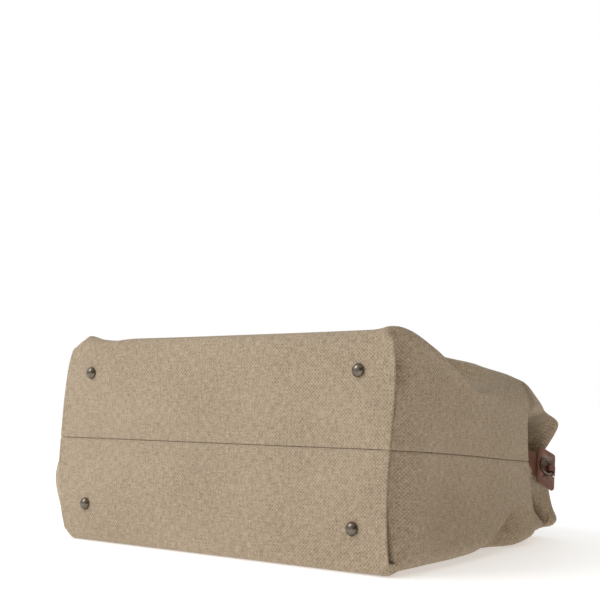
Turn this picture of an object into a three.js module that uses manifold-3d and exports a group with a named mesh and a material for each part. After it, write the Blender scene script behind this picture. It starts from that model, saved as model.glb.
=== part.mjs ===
// A canvas satchel bag lying on its back panel, in millimetres.
// +X runs along the bag's width, +Y from its base to its mouth, +Z up from the surface it lies on.
// The body is two canvas halves, front (above) and back (below), which meet in one seam round
// the base and up both ends. Inside are a base board, a lining and a facing round the mouth.
import * as THREE from "three";
import { mergeVertices } from "three/addons/utils/BufferGeometryUtils.js";
import Module from "manifold-3d";

const wasm = await Module();
wasm.setup();

// ---------------------------------------------------------------- driving dimensions
const BASE_LENGTH = 392; // canvas base, seam to seam
const BASE_DEPTH = 205; // canvas base, front to back
const BAG_HEIGHT = 298; // base to rim
const RIM_HEIGHT_AT_ENDS = 123; // height of the mouth's two ends above the floor
const RIM_LIFT = 10; // the back panel's rim stands off the floor
const BASE_EDGE_RADIUS = 8; // fold between the base and the walls
const CANVAS = 1.6; // cloth thickness
const LINING = 0.8;
const FACING = 1.2;
const INNER_GAP = 3.4; // from the outer face of the canvas to the lining and facing
const SEAM_GAP = 0.6; // clear space between the two halves along their seam
const CLEAR = 0.35; // clear space between any two pieces that touch

const BOARD = { length: 368, depth: 176, thick: 2.5 };
const FOOT = { radius: 6, height: 5, shank: 1.6, x: 165, fromMiddle: 66 };
const WASHER = { radius: 7, thick: 0.8 };
const SHANK_HOLE = 2.1;
const SNAP = { radius: 9, thick: 3.2, t: 0.92, washer: 0.5, washerHole: 2 };
const SNAP_STUD = { flange: 1.6, post: 3.4 };
const SNAP_SOCKET = { edge: 2.8, well: 4, floor: 1.4 };

const CHAPE = { width: 20, tail: 44, thick: 2.2, lift: 0.9, pastRim: 5 };
const EYE = { inner: 2.35, outer: 4 }; // leather folded round a bar of a handle ring
const RING = { width: 32, height: 17, wire: 1.7, corner: 5 };
const HANDLE = { reach: 100, radius: 5.5, frontSpread: 54, backSpread: 72, rollStart: 14 };
const HANDLE_END = { width: 18, length: 22, thick: 3 }; // flat end, folded round its ring
const RIVET = { radius: 3.6, frontTall: 1.8, backTall: 0.9 };

const PLATE = { length: 25, width: 41, thick: 2.4, corner: 3, notchDepth: 12.5, notchHalf: 5.2 };
const TONGUE = { width: 26, thick: 2.0, tail: 7 };
const END_RING = { outer: 9, wire: 1.5, x: 4.8 };
const KEEPER = { width: 6.5, inner: 2.9, outer: 4.0, thick: 1.2, tail: 9, sink: 0.1 };
const TAB_RIVET = { radius: 2.5, tall: 1.6, fromRing: 6 };
const TAB_PLACE = { x: 205, y: 279, z: 71 }; // middle of the right-hand plate's underside
const TAB_OUT = [0.93, -0.2, 0.31]; // it faces out, a little up and towards the base
const TAB_TO_RIM = [0.3, 0.84, -0.44];

// ---------------------------------------------------------------- small helpers
const v3 = (x, y, z) => new THREE.Vector3(x, y, z);

// A smooth curve through [place, value] pairs.
function through(pairs) {
  const places = pairs.map((p) => p[0]);
  const values = pairs.map((p) => p[1]);
  const curve = new THREE.CubicInterpolant(places, values, 1);
  const last = places.length - 1;
  return (t) => curve.evaluate(Math.min(Math.max(t, places[0]), places[last]))[0];
}

const bump = (x, centre, width) => Math.exp(-(((x - centre) / width) ** 2));

function solid(geometry) {
  const bare = geometry.clone();
  bare.deleteAttribute("normal");
  bare.deleteAttribute("uv");
  const merged = mergeVertices(bare, 1e-3);
  const mesh = new wasm.Mesh({
    numProp: 3,
    vertProperties: new Float32Array(merged.attributes.position.array),
    triVerts: new Uint32Array(merged.index.array),
  });
  return new wasm.Manifold(mesh);
}

function geometryOf(manifold) {
  const mesh = manifold.getMesh();
  const stride = mesh.numProp;
  const places = new Float32Array(mesh.numVert * 3);
  for (let i = 0; i < mesh.numVert; i++) {
    places.set(mesh.vertProperties.subarray(i * stride, i * stride + 3), i * 3);
  }
  const geometry = new THREE.BufferGeometry();
  geometry.setAttribute("position", new THREE.BufferAttribute(places, 3));
  geometry.setIndex(new THREE.BufferAttribute(mesh.triVerts, 1));
  return geometry;
}

const cut = (geometry, cutters) =>
  geometryOf(cutters.reduce((left, c) => left.subtract(solid(c)), solid(geometry)));
const join = (...geometries) =>
  geometryOf(geometries.map(solid).reduce((a, b) => a.add(b)));

// A closed skin from a grid of outer points and a matching grid of inner points.
function skin(outer, inner) {
  const rows = outer.length;
  const columns = outer[0].length;
  const places = [];
  const faces = [];
  for (const grid of [outer, inner]) {
    grid.forEach((row) => row.forEach((p) => places.push(p.x, p.y, p.z)));
  }
  const a = (i, j) => i * columns + j;
  const b = (i, j) => rows * columns + i * columns + j;
  const quad = (p, q, r, s) => faces.push(p, q, r, p, r, s);
  for (let i = 0; i < rows - 1; i++) {
    for (let j = 0; j < columns - 1; j++) {
      quad(a(i, j), a(i, j + 1), a(i + 1, j + 1), a(i + 1, j));
      quad(b(i, j), b(i + 1, j), b(i + 1, j + 1), b(i, j + 1));
    }
    quad(a(i, 0), a(i + 1, 0), b(i + 1, 0), b(i, 0));
    quad(a(i + 1, columns - 1), a(i, columns - 1), b(i, columns - 1), b(i + 1, columns - 1));
  }
  for (let j = 0; j < columns - 1; j++) {
    quad(a(0, j + 1), a(0, j), b(0, j), b(0, j + 1));
    quad(a(rows - 1, j), a(rows - 1, j + 1), b(rows - 1, j + 1), b(rows - 1, j));
  }
  const geometry = new THREE.BufferGeometry();
  geometry.setAttribute("position", new THREE.Float32BufferAttribute(places, 3));
  geometry.setIndex(faces);
  return outward(geometry);
}

// The geometry with its faces turned to point out.
function outward(geometry) {
  if (solid(geometry).volume() > 0) return geometry;
  const index = Array.from(geometry.index.array);
  for (let i = 0; i < index.length; i += 3) {
    [index[i + 1], index[i + 2]] = [index[i + 2], index[i + 1]];
  }
  return geometry.clone().setIndex(index);
}

// ---------------------------------------------------------------- the body's outer surface
// t runs from 0 at the base to 1 at the rim.
const halfWidth = through([[0, 198], [0.08, 205], [0.3, 209], [0.6, 207], [0.84, 204], [1, 204]]);
const topHeight = through([[0, 203], [0.07, 204], [0.2, 191.5], [0.4, 178.5], [0.62, 166.5],
  [0.84, 150.5], [0.94, 136], [1, RIM_HEIGHT_AT_ENDS]]);
const topCrown = through([[0, -3], [0.25, 5], [0.55, 4], [0.85, -4], [1, -12]]);
const bottomHeight = (t) => RIM_LIFT * THREE.MathUtils.smoothstep(t, 0.72, 1);
const seamHeight = through([[0, BASE_DEPTH / 2], [0.3, 95], [0.6, 86], [0.84, 79], [1, 71]]);
const wallRadius = through([[0, 10], [0.3, 15], [0.7, 16], [1, 10]]);

// The ends swell near the floor, and the left end most of all near the base.
const endSwell = (side, t, z) =>
  THREE.MathUtils.smoothstep(t, 0, 0.03) *
  (7 * bump(z, 0, 45) + (side < 0 ? 34 * bump(t, 0.04, 0.15) * bump(z, 72, 50) : 0));

// The ends fold inwards above and below the leather tab, just behind the rim, and flare at the rim.
const foldDepth = (t) => 21 * bump(t, 0.91, 0.055);
const earFlare = (t) => 5 * THREE.MathUtils.smoothstep(t, 0.88, 1);

// The base leans: its lower edge stands further out, more so at the right-hand end.
const baseLean = (x, z) => -(13 + (4 * x) / (BASE_LENGTH / 2)) * (1 - z / BASE_DEPTH);

// Columns of one half: up the right end, round the corner, along the panel, and down the left end.
const COLUMNS = [];
for (let i = 0; i < 5; i++) COLUMNS.push({ part: "end", side: 1, k: i / 5 });
for (let i = 0; i <= 3; i++) COLUMNS.push({ part: "corner", side: 1, k: i / 3 });
for (let i = 1; i < 9; i++) COLUMNS.push({ part: "panel", side: 1, k: i / 9 });
for (let i = 3; i >= 0; i--) COLUMNS.push({ part: "corner", side: -1, k: i / 3 });
for (let i = 4; i >= 0; i--) COLUMNS.push({ part: "end", side: -1, k: i / 5 });

// A point of the outer surface: half is +1 for the front (above) or -1 for the back (below).
function bodyPoint(column, t, inset, half) {
  const a = halfWidth(t) - inset;
  const edge = half > 0 ? topHeight(t) - inset : bottomHeight(t) + inset;
  const crown = half > 0 ? topCrown(t) : 0;
  const r = Math.max(wallRadius(t) - inset, 4);
  const seam = seamHeight(t);
  let x;
  let z;
  if (column.part === "end") {
    x = a;
    z = THREE.MathUtils.lerp(seam + half * (SEAM_GAP / 2), edge - half * r, column.k);
  } else if (column.part === "corner") {
    const turn = (column.k * Math.PI) / 2;
    x = a - r + r * Math.cos(turn);
    z = edge - half * r + half * r * Math.sin(turn);
  } else {
    x = (a - r) * (1 - 2 * column.k);
    z = edge + crown * (1 - (x / (a - r)) ** 2);
  }
  const span = Math.abs(edge - seam);
  const inward = Math.abs(z - seam) / span;
  x += earFlare(t) * (x / a) ** 8 * bump(inward, 0.8, 0.4);
  x -= foldDepth(t) * (x / a) ** 8 * (1 - THREE.MathUtils.smoothstep(inward, 0.45, 0.95));
  if (column.part !== "panel") x = column.side * (x + endSwell(column.side, t, z));
  return v3(x, t * BAG_HEIGHT + baseLean(x, z) * (1 - t) ** 2, z);
}

// Stations down the wall, closer together near the rim, then round the fold to the base.
const STATIONS = [1, 0.97, 0.94, 0.91, 0.88, 0.85, 0.81, 0.74, 0.64, 0.52, 0.4, 0.28, 0.17, 0.08, 0.04];
const FACING_STATIONS = 6;
const FACING_TO_LINING = 0.012; // step in t where the facing ends and the lining begins
const BASE_FOLD_RUN_ON = 5; // the fold's cloth runs on this far into the flat base
const BASE_SHEET_INSET = 9;
const canvasRows = STATIONS.map((t) => ({ t, inset: 0 }));
for (const degrees of [30, 60, 90]) {
  const a = THREE.MathUtils.degToRad(degrees);
  const r = BASE_EDGE_RADIUS;
  canvasRows.push({ t: (r * (1 - Math.sin(a))) / BAG_HEIGHT, inset: r * (1 - Math.cos(a)) });
}
canvasRows.push({ t: 0, inset: BASE_EDGE_RADIUS + BASE_FOLD_RUN_ON });
const facingRows = canvasRows.slice(0, FACING_STATIONS);
const liningStart = { t: STATIONS[FACING_STATIONS - 1] - FACING_TO_LINING, inset: 0 };
const liningRows = [liningStart, ...canvasRows.slice(FACING_STATIONS, STATIONS.length - 1)];

function outerGrid(rows, half) {
  return rows.map((row) => COLUMNS.map((c) => bodyPoint(c, row.t, row.inset, half)));
}

// The grid moved inwards along its own normals by a distance.
function offsetGrid(grid, distance, half) {
  return grid.map((row, i) =>
    row.map((p, j) => {
      const along = grid[i][Math.min(j + 1, row.length - 1)].clone()
        .sub(grid[i][Math.max(j - 1, 0)]);
      const down = grid[Math.min(i + 1, grid.length - 1)][j].clone()
        .sub(grid[Math.max(i - 1, 0)][j]);
      // The cloth's end edges lie in the seam plane, so the offset there stays in it.
      const n = along.cross(down).normalize().multiplyScalar(half);
      if (j === 0 || j === row.length - 1) n.setZ(0).normalize();
      return p.clone().addScaledVector(n, -distance);
    }),
  );
}

// A wall of cloth between two distances inside the outer surface.
function wall(half, rows, from, to) {
  const outer = outerGrid(rows, half);
  const sign = wallSign(outer, half);
  return skin(offsetGrid(outer, from * sign, half), offsetGrid(outer, to * sign, half));
}

// +1 where the grid's normals already point outwards.
function wallSign(grid, half) {
  const i = Math.floor(grid.length / 2);
  const j = Math.floor(grid[0].length / 2);
  const moved = offsetGrid(grid, 1, half)[i][j];
  return half * (grid[i][j].z - moved.z) > 0 ? 1 : -1;
}

// Half of the base, from the seam to just short of the fold, between two depths behind its face.
function baseHalf(half, from, to, inset) {
  const long = BASE_LENGTH / 2 - inset;
  const near = BASE_DEPTH / 2 + half * (SEAM_GAP / 2);
  const far = BASE_DEPTH / 2 + half * (BASE_DEPTH / 2 - inset);
  const grid = (depth) =>
    [0, 0.5, 1].map((k) =>
      [-1, -0.5, 0, 0.5, 1].map((s) => {
        const z = THREE.MathUtils.lerp(near, far, k);
        return v3(s * long, baseLean(s * long, z) + depth, z);
      }),
    );
  return skin(grid(from), grid(to));
}

// ---------------------------------------------------------------- materials
const finish = (color, roughness, metalness) =>
  new THREE.MeshStandardMaterial({ color, roughness, metalness });
const canvasCloth = finish(0xa6927a, 0.95, 0);
const liningCloth = finish(0x8a7a66, 0.9, 0);
const boardFinish = finish(0x3a332c, 0.8, 0);
const brownLeather = finish(0x6b4536, 0.5, 0);
const agedNickel = finish(0x6f6a62, 0.35, 1);

const bag = new THREE.Group();

function add(name, geometry, material, parent = bag) {
  const mesh = new THREE.Mesh(geometry, material);
  mesh.name = name;
  parent.add(mesh);
  return mesh;
}

// ---------------------------------------------------------------- the feet's places
// Each foot stands square to the leaning base.
const feet = [];
for (const side of [1, -1]) {
  for (const half of [1, -1]) {
    const x = side * FOOT.x;
    const z = BASE_DEPTH / 2 + half * FOOT.fromMiddle;
    const slopeX = baseLean(x + 0.5, z) - baseLean(x - 0.5, z);
    const slopeZ = baseLean(x, z + 0.5) - baseLean(x, z - 0.5);
    const inward = v3(-slopeX, 1, -slopeZ).normalize();
    const turn = new THREE.Quaternion().setFromUnitVectors(v3(0, 1, 0), inward);
    const name = `${half > 0 ? "front" : "back"}_${side > 0 ? "right" : "left"}`;
    feet.push({ name, half, turn, place: v3(x, baseLean(x, z), z) });
  }
}

function shankHole(foot) {
  const bar = new THREE.CylinderGeometry(SHANK_HOLE, SHANK_HOLE, 40, 12);
  return bar.applyQuaternion(foot.turn).translate(foot.place.x, foot.place.y, foot.place.z);
}

// ---------------------------------------------------------------- canvas, lining, facing
for (const half of [1, -1]) {
  const side = half > 0 ? "front" : "back";
  const holes = feet.filter((f) => f.half === half).map(shankHole);
  const cloth = join(wall(half, canvasRows, 0, CANVAS), baseHalf(half, 0, CANVAS, BASE_SHEET_INSET));
  add(`${side}_canvas`, cut(cloth, holes), canvasCloth);
  add(`${side}_lining`, wall(half, liningRows, INNER_GAP, INNER_GAP + LINING), liningCloth);
  add(`${side}_facing`, wall(half, facingRows, INNER_GAP, INNER_GAP + FACING), canvasCloth);
}

// ---------------------------------------------------------------- base board, its lining, feet
function boardSheet(from, thick) {
  const grid = (behind) =>
    [-1, 0, 1].map((k) =>
      [-1, 0, 1].map((s) => {
        const x = (s * BOARD.length) / 2;
        const z = BASE_DEPTH / 2 + (k * BOARD.depth) / 2;
        return v3(x, baseLean(x, z) + behind, z);
      }),
    );
  return skin(grid(from), grid(from + thick));
}

const boardFrom = CANVAS + 2 * CLEAR;
const washerFrom = boardFrom + BOARD.thick + 2 * CLEAR;
const board = boardSheet(boardFrom, BOARD.thick);
add("base_board", cut(board, feet.map(shankHole)), boardFinish);
add("base_lining", boardSheet(washerFrom + WASHER.thick + 3 * CLEAR, LINING), liningCloth);

// A closed shape turned round the Y axis from [radius, height] pairs.
const turned = (profile, segments) =>
  outward(new THREE.LatheGeometry(profile.map(([r, h]) => new THREE.Vector2(r, h)), segments));
const washerShape = (outer, inner, thick) =>
  turned([[inner, 0], [outer, 0], [outer, thick], [inner, thick], [inner, 0]], 14);

// A domed foot: a low dome outside the base and a shank through canvas and board, along Y.
function footShape() {
  const rim = -CLEAR;
  const tall = FOOT.height + rim;
  const profile = [[0, washerFrom + WASHER.thick], [FOOT.shank, washerFrom + WASHER.thick],
    [FOOT.shank, rim], [FOOT.radius, rim]];
  for (const degrees of [10, 30, 50, 70, 90]) {
    const a = THREE.MathUtils.degToRad(degrees);
    profile.push([degrees < 90 ? FOOT.radius * Math.cos(a) : 0, rim - tall * Math.sin(a)]);
  }
  return turned(profile, 16);
}

for (const foot of feet) {
  const holder = new THREE.Group();
  holder.position.copy(foot.place);
  holder.quaternion.copy(foot.turn);
  bag.add(holder);
  add(`foot_${foot.name}`, footShape(), agedNickel, holder);
  const washer = washerShape(WASHER.radius, SHANK_HOLE, WASHER.thick);
  add(`foot_washer_${foot.name}`, washer.translate(0, washerFrom, 0), agedNickel, holder);
}

// ---------------------------------------------------------------- the panels near the mouth
// The height of a panel's outer face at x and t, and its frame there: along runs to the rim,
// out leaves the bag.
function panelHeight(half, x, t) {
  const flat = halfWidth(t) - wallRadius(t);
  const crown = half > 0 ? topCrown(t) : 0;
  return (half > 0 ? topHeight(t) : bottomHeight(t)) + crown * (1 - (x / flat) ** 2);
}

function panelFrame(half, x, t) {
  const before = v3(0, (t - 0.02) * BAG_HEIGHT, panelHeight(half, x, t - 0.02));
  const place = v3(0, t * BAG_HEIGHT, panelHeight(half, x, t));
  const along = place.clone().sub(before).normalize();
  const out = v3(0, -along.z, along.y).multiplyScalar(half);
  return { place, along, out };
}

// ---------------------------------------------------------------- magnetic snap at the mouth
for (const half of [1, -1]) {
  const name = half > 0 ? "snap_stud" : "snap_socket";
  const { place, along, out } = panelFrame(half, 0, SNAP.t);
  const holder = new THREE.Group();
  const inward = out.clone().negate();
  const across = along.clone().cross(inward);
  holder.quaternion.setFromRotationMatrix(new THREE.Matrix4().makeBasis(along, inward, across));
  holder.position.copy(place);
  bag.add(holder);
  const profile = half > 0
    ? [[0, 0], [SNAP.radius, 0], [SNAP.radius, SNAP_STUD.flange],
      [SNAP_STUD.post, SNAP_STUD.flange], [SNAP_STUD.post, SNAP.thick], [0, SNAP.thick]]
    : [[0, 0], [SNAP.radius, 0], [SNAP.radius, SNAP_SOCKET.edge], [SNAP_SOCKET.well, SNAP.thick],
      [SNAP_SOCKET.well, SNAP_SOCKET.floor], [0, SNAP_SOCKET.floor]];
  const disc = turned(profile, 20).translate(0, INNER_GAP + FACING + 2 * CLEAR, 0);
  add(name, disc, agedNickel, holder);
  const washer = washerShape(SNAP.radius - 1, SNAP.washerHole, SNAP.washer);
  washer.translate(0, (CANVAS + INNER_GAP - SNAP.washer) / 2, 0);
  add(`${name}_washer`, washer, agedNickel, holder);
}

// ---------------------------------------------------------------- handles
// A leather eye round a bar along X.
const eyeShape = (width, inner, outer) =>
  turned([[inner, -width / 2], [outer, -width / 2], [outer, width / 2], [inner, width / 2],
    [inner, -width / 2]], 14).rotateZ(Math.PI / 2);

// A strap of one outline, drawn in the Y-Z plane and given its width along X.
function strapShape(outline, width) {
  const shape = new THREE.Shape(outline.map((p) => new THREE.Vector2(p.y, p.z)));
  const strap = new THREE.ExtrudeGeometry(shape, { depth: width, bevelEnabled: false });
  strap.applyMatrix4(new THREE.Matrix4().makeBasis(v3(0, 1, 0), v3(0, 0, 1), v3(1, 0, 0)));
  return strap.translate(-width / 2, 0, 0);
}

const offset = (p, out, by) => p.clone().addScaledVector(out, by);

// A chape lies on the panel's outer face and ends in an eye just past the rim.
function chapeParts(half, x) {
  const lower = [];
  const upper = [];
  const steps = 6;
  for (let i = 0; i <= steps; i++) {
    const t = 1 - (CHAPE.tail / BAG_HEIGHT) * (1 - i / steps);
    const { place, out } = panelFrame(half, x, t);
    lower.push(offset(place, out, CHAPE.lift));
    upper.unshift(offset(place, out, CHAPE.lift + CHAPE.thick));
  }
  const { place, along, out } = panelFrame(half, x, 1);
  const eye = offset(offset(place, along, CHAPE.pastRim), out, CHAPE.lift + CHAPE.thick / 2);
  const neck = offset(eye, along, -(EYE.inner + EYE.outer) / 2);
  const outline = [...lower, offset(neck, out, -CHAPE.thick / 2),
    offset(neck, out, CHAPE.thick / 2), ...upper];
  const loop = eyeShape(CHAPE.width, EYE.inner, EYE.outer).translate(0, eye.y, eye.z);
  const chape = join(strapShape(outline, CHAPE.width), loop).translate(x, 0, 0);
  return { chape, eye };
}

// A rectangular ring with rounded corners: one bar on the X axis, the other along +Y.
function ringShape() {
  const rounded = (path, w, h, r) => {
    path.absarc(w - r, h - r, r, 0, Math.PI / 2, false);
    path.absarc(r - w, h - r, r, Math.PI / 2, Math.PI, false);
    path.absarc(r - w, r - h, r, Math.PI, 1.5 * Math.PI, false);
    path.absarc(w - r, r - h, r, 1.5 * Math.PI, 2 * Math.PI, false);
    return path;
  };
  const w = RING.width / 2 - RING.wire / 2;
  const h = RING.height / 2 - RING.wire / 2;
  const shape = rounded(new THREE.Shape(), w, h, RING.corner);
  shape.holes.push(rounded(new THREE.Path(), w - RING.wire, h - RING.wire, RING.corner - RING.wire));
  const ring = new THREE.ExtrudeGeometry(shape, { depth: RING.wire, bevelThickness: RING.wire / 2,
    bevelSize: RING.wire / 2, bevelSegments: 1, curveSegments: 3 });
  return ring.translate(0, RING.height / 2 - RING.wire, -RING.wire / 2);
}
const barToBar = RING.height - 2 * RING.wire;

// The U of a rolled handle, with a flat end and an eye on each leg. Its eyes are on the X axis.
function handleShape(spread) {
  const start = HANDLE.rollStart;
  const end = HANDLE.reach - HANDLE.radius;
  const leg = end - spread * 0.85;
  const side = [v3(spread, start, 0), v3(spread, (start + leg) / 2, 0), v3(spread - 1, leg, 0),
    v3(spread * 0.8, (leg + end) / 2 + 9, 0), v3(spread * 0.45, end - 3, 0)];
  const other = side.map((p) => v3(-p.x, p.y, 0)).reverse();
  const path = new THREE.CatmullRomCurve3([...side, v3(0, end, 0), ...other]);
  const section = new THREE.Shape();
  section.absarc(0, 0, HANDLE.radius, 0, 2 * Math.PI, false);
  const tube = new THREE.ExtrudeGeometry(section, { steps: 34, extrudePath: path, curveSegments: 5 });
  const pieces = [tube];
  const tabFrom = (EYE.inner + EYE.outer) / 2;
  for (const x of [spread, -spread]) {
    const tab = new THREE.BoxGeometry(HANDLE_END.width, HANDLE_END.length, HANDLE_END.thick);
    tab.translate(x, tabFrom + HANDLE_END.length / 2, 0);
    const loop = eyeShape(HANDLE_END.width, EYE.inner, EYE.outer).translate(x, 0, 0);
    pieces.push(tab, loop);
  }
  return join(...pieces);
}

const rivetShape = (radius, tall) =>
  turned([[0, 0], [radius, 0], [radius * 0.9, tall * 0.5], [radius * 0.55, tall * 0.85], [0, tall]], 12);

for (const half of [1, -1]) {
  const side = half > 0 ? "front" : "back";
  const spread = half > 0 ? HANDLE.frontSpread : HANDLE.backSpread;
  const swing = new THREE.Group();
  bag.add(swing);
  for (const end of [1, -1]) {
    const hand = end > 0 ? "right" : "left";
    const { chape, eye } = chapeParts(half, end * spread);
    add(`${side}_chape_${hand}`, chape, brownLeather);
    swing.position.copy(eye);
    const ring = ringShape().translate(end * spread, 0, 0);
    add(`${side}_ring_${hand}`, ring, agedNickel, swing);

    const { place, along, out } = panelFrame(half, end * spread, 1 - CHAPE.tail / BAG_HEIGHT / 2);
    const holder = new THREE.Group();
    const across = along.clone().cross(out);
    holder.quaternion.setFromRotationMatrix(new THREE.Matrix4().makeBasis(along, out, across));
    holder.position.copy(offset(place, out, CHAPE.lift + CHAPE.thick + CLEAR)).setX(end * spread);
    bag.add(holder);
    const tall = half > 0 ? RIVET.frontTall : RIVET.backTall;
    add(`${side}_rivet_${hand}`, rivetShape(RIVET.radius, tall), agedNickel, holder);
  }
  // The handle leans down from its rings and rests its crown on the floor.
  const drop = swing.position.z - HANDLE.radius - CLEAR;
  swing.rotation.x = -Math.asin(drop / (barToBar + HANDLE.reach - HANDLE.radius));
  add(`${side}_handle`, handleShape(spread).translate(0, barToBar, 0), brownLeather, swing);
}

// ---------------------------------------------------------------- end tabs
// Each end has a notched leather plate at the rim over a narrower tongue, and a strap ring held
// by a narrow keeper riveted to the tongue in the notch. Local x runs to the rim, z out.
function plateShape() {
  const l = PLATE.length / 2;
  const w = PLATE.width / 2;
  const c = PLATE.corner;
  const n = PLATE.notchHalf;
  const shape = new THREE.Shape();
  shape.absarc(l - c, -w + c, c, -Math.PI / 2, 0, false);
  shape.lineTo(l, -n);
  shape.lineTo(l - PLATE.notchDepth, -n);
  shape.lineTo(l - PLATE.notchDepth, n);
  shape.lineTo(l, n);
  shape.absarc(l - c, w - c, c, 0, Math.PI / 2, false);
  shape.absarc(-l + c, w - c, c, Math.PI / 2, Math.PI, false);
  shape.absarc(-l + c, -w + c, c, Math.PI, 1.5 * Math.PI, false);
  return new THREE.ExtrudeGeometry(shape, { depth: PLATE.thick, bevelEnabled: false, curveSegments: 4 });
}

// The tongue lies under the plate and bends back into the fold of the canvas. Drawn along Y.
function tongueShape() {
  const l = PLATE.length / 2;
  const bend = 0.35;
  const tip = v3(0, -l - TONGUE.tail * Math.cos(bend), -CLEAR - TONGUE.tail * Math.sin(bend));
  const outline = [v3(0, l, -CLEAR), v3(0, -l, -CLEAR), tip,
    offset(tip, v3(0, Math.sin(bend), -Math.cos(bend)), TONGUE.thick),
    v3(0, -l + 1, -CLEAR - TONGUE.thick), v3(0, l, -CLEAR - TONGUE.thick)];
  return strapShape(outline, TONGUE.width);
}

function keeperShape(height) {
  const loop = eyeShape(KEEPER.width, KEEPER.inner, KEEPER.outer).translate(0, 0, height);
  const low = height - KEEPER.outer + KEEPER.sink;
  const tail = new THREE.BoxGeometry(KEEPER.width, KEEPER.tail, KEEPER.thick);
  tail.translate(0, KEEPER.tail / 2, low + KEEPER.thick / 2);
  const bore = new THREE.CylinderGeometry(KEEPER.inner, KEEPER.inner, 20, 14).rotateZ(Math.PI / 2);
  return cut(join(loop, tail), [bore.translate(0, 0, height)]);
}

const alongX = (geometry) => geometry.rotateZ(-Math.PI / 2);

function addEndTab(side) {
  const hand = side > 0 ? "right" : "left";
  const out = v3(...TAB_OUT).normalize();
  const toRim = v3(...TAB_TO_RIM);
  const up = out.clone().cross(toRim).normalize();
  toRim.copy(up).cross(out).normalize();
  const tab = new THREE.Group();
  const frame = new THREE.Matrix4().makeBasis(toRim, up, out);
  tab.applyMatrix4(frame.setPosition(TAB_PLACE.x, TAB_PLACE.y, TAB_PLACE.z));
  const mirror = new THREE.Group();
  mirror.scale.x = side;
  mirror.add(tab);
  bag.add(mirror);

  add(`end_plate_${hand}`, plateShape(), brownLeather, tab);
  add(`end_tongue_${hand}`, alongX(tongueShape()), brownLeather, tab);
  const ringHeight = PLATE.thick + END_RING.wire + CLEAR;
  const keeper = alongX(keeperShape(ringHeight)).translate(END_RING.x, 0, 0);
  add(`end_keeper_${hand}`, keeper, brownLeather, tab);
  const rivet = rivetShape(TAB_RIVET.radius, TAB_RIVET.tall).rotateX(Math.PI / 2);
  const keeperTop = ringHeight - KEEPER.outer + KEEPER.sink + KEEPER.thick;
  rivet.translate(END_RING.x + TAB_RIVET.fromRing, 0, keeperTop + CLEAR);
  add(`end_rivet_${hand}`, rivet, agedNickel, tab);
  const reach = END_RING.outer - END_RING.wire;
  const ring = new THREE.TorusGeometry(reach, END_RING.wire, 8, 28);
  ring.translate(END_RING.x - reach, 0, ringHeight);
  add(`end_ring_${hand}`, ring, agedNickel, tab);
}

addEndTab(1);
addEndTab(-1);

// The origin is under the middle of the whole object's box, on the surface it lies on.
bag.updateMatrixWorld(true);
const box = new THREE.Box3().setFromObject(bag, true);
const middle = box.getCenter(v3(0, 0, 0));
bag.position.set(-middle.x, -middle.y, -box.min.z);

export default bag;
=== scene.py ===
"""A canvas satchel bag lying on its back panel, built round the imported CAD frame.

Shapes are worked out in millimetres in the bag's own frame: X runs along its width from the
middle of the base, Y from the base's top edge to the mouth, Z up from the floor. Each mesh is
turned to metres of the shared frame when it is made.
"""

import math

import bmesh
import bpy
import numpy as np
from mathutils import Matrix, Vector


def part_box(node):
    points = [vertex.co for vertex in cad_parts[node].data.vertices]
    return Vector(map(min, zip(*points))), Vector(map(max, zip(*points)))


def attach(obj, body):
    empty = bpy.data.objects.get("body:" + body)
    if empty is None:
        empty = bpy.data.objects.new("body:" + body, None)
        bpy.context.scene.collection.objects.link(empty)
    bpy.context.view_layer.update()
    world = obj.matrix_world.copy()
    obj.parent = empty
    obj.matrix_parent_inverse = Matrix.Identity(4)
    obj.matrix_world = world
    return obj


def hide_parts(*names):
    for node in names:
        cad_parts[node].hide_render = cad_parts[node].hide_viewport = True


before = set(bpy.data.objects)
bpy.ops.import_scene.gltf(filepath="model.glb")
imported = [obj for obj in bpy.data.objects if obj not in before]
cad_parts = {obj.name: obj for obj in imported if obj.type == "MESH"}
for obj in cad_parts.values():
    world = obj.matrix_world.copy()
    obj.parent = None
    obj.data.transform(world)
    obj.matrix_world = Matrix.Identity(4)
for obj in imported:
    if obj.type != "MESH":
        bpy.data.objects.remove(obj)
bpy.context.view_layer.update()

# ---------------------------------------------------------------- canvas body
# The body is two halves of washed heavy cotton canvas, front above and back below. Each is one
# cut of cloth: a panel, half the base and half of both ends, with seams along the middle of the
# base and of each end, and a boxed seam down both short sides of the base.
MM = 0.001
BAG_HEIGHT = 298.0
BASE_DEPTH = 205.0
BASE_HALF_LENGTH = 198.0
FOLD_RADIUS = 8.0
FOOT_X, FOOT_Z = 165.0, 66.0
CANVAS_THICK = 1.6
CREASE_Y = 243.0

chape_boxes = [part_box("front_chape_right"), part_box("front_chape_left")]
middle_x = sum(corner.x for box in chape_boxes for corner in box) / 4
RIM_TOP = BAG_HEIGHT + 0.947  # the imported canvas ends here, at the top of its rolled rim
ORIGIN = np.array([middle_x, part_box("front_canvas")[1].y - RIM_TOP * MM, 0.0])


def through(*pairs):
    """A smooth curve through (place, value) pairs: cubic pieces that share their slopes."""
    places, values = np.array(pairs, float).T
    slopes = np.gradient(values, places)

    def curve(t):
        t = np.clip(t, places[0], places[-1])
        i = np.clip(np.searchsorted(places, t) - 1, 0, len(places) - 2)
        step = places[i + 1] - places[i]
        k = (t - places[i]) / step
        ends = (1 + 2 * k) * (1 - k) ** 2 * values[i] + k * k * (3 - 2 * k) * values[i + 1]
        return ends + step * (k * (1 - k) ** 2 * slopes[i] + k * k * (k - 1) * slopes[i + 1])

    return curve


def rise(x, start, end):
    """0 before start, 1 after end, and a smooth S between them."""
    k = np.clip((x - start) / (end - start), 0, 1)
    return k * k * (3 - 2 * k)


def bump(x, centre, width):
    """A bell of height 1 round centre."""
    return np.exp(-(((x - centre) / width) ** 2))


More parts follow.
